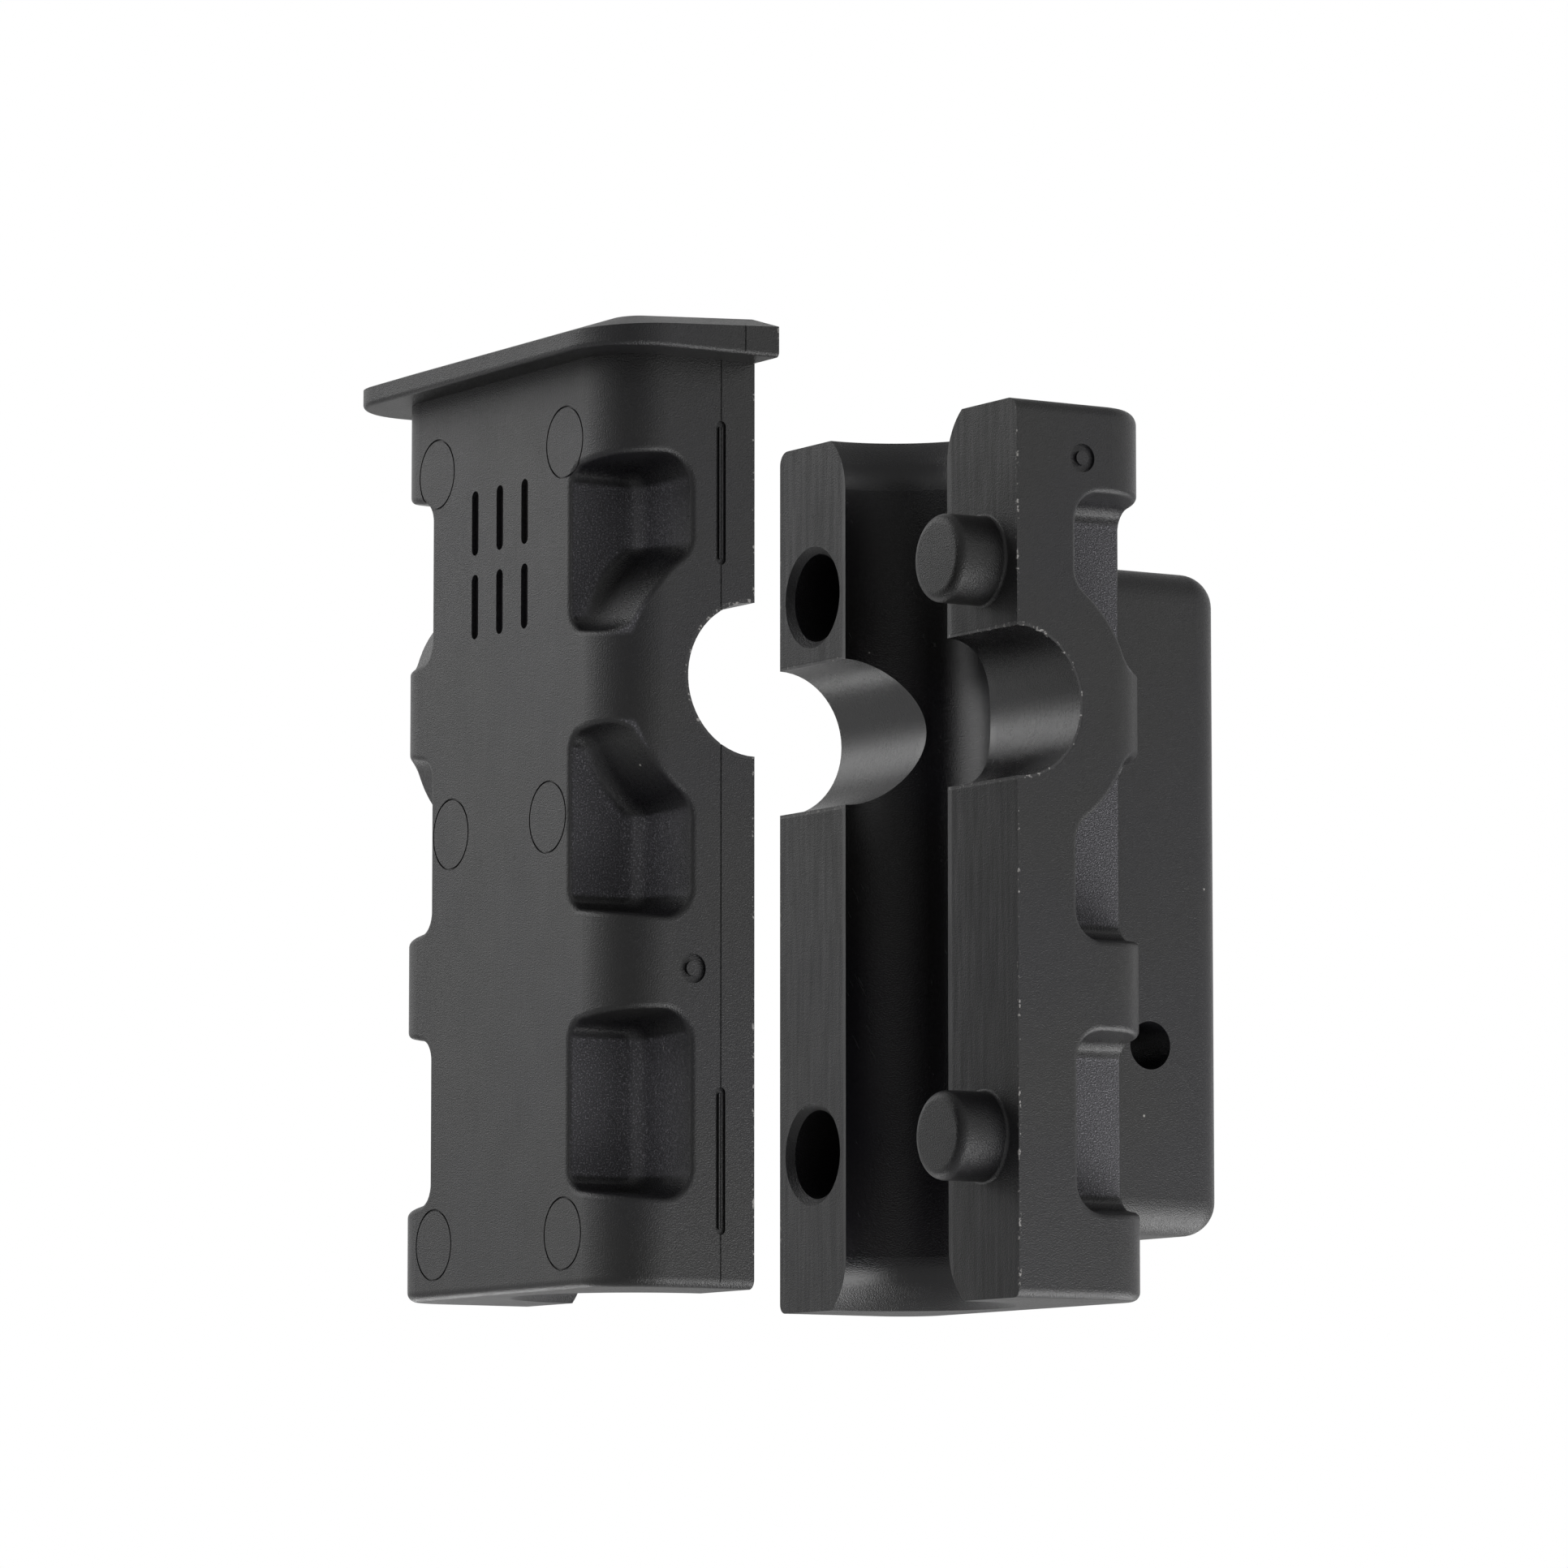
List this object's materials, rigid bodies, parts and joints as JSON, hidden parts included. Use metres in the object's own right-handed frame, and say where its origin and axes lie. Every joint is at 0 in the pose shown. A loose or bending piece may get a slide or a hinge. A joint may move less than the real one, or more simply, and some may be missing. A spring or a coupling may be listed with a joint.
{
  "type": "split bush insert",
  "caption": "Clamshell bush of black moulded plastic: halves with pegs and peg holes close round a rod bore and a cross-pin hole, one half has a top flange, the other a rear block.",
  "frame": {"origin": "where the rod bore's axis crosses the cross-pin hole's axis, on the flanged half's mating plane", "axes": "+Z along the rod bore towards the flange, +Y along the cross-pin hole, +X from the flanged half towards the plain half"},
  "size_m": [0.068, 0.045, 0.0792],
  "materials": {
    "flanged_half_plastic": "satin, moulded",
    "plain_half_plastic": "satin, moulded"
  },
  "bodies": {
    "flanged_side": {"flanged_half": "flanged_half_plastic"},
    "plain_side": {"plain_half": "plain_half_plastic"}
  },
  "joints": [
    {"name": "halves_close", "type": "slide", "parent": "flanged_side", "child": "plain_side", "axis": [-1, 0, 0], "range_m": [0, 0.02555]}
  ]
}
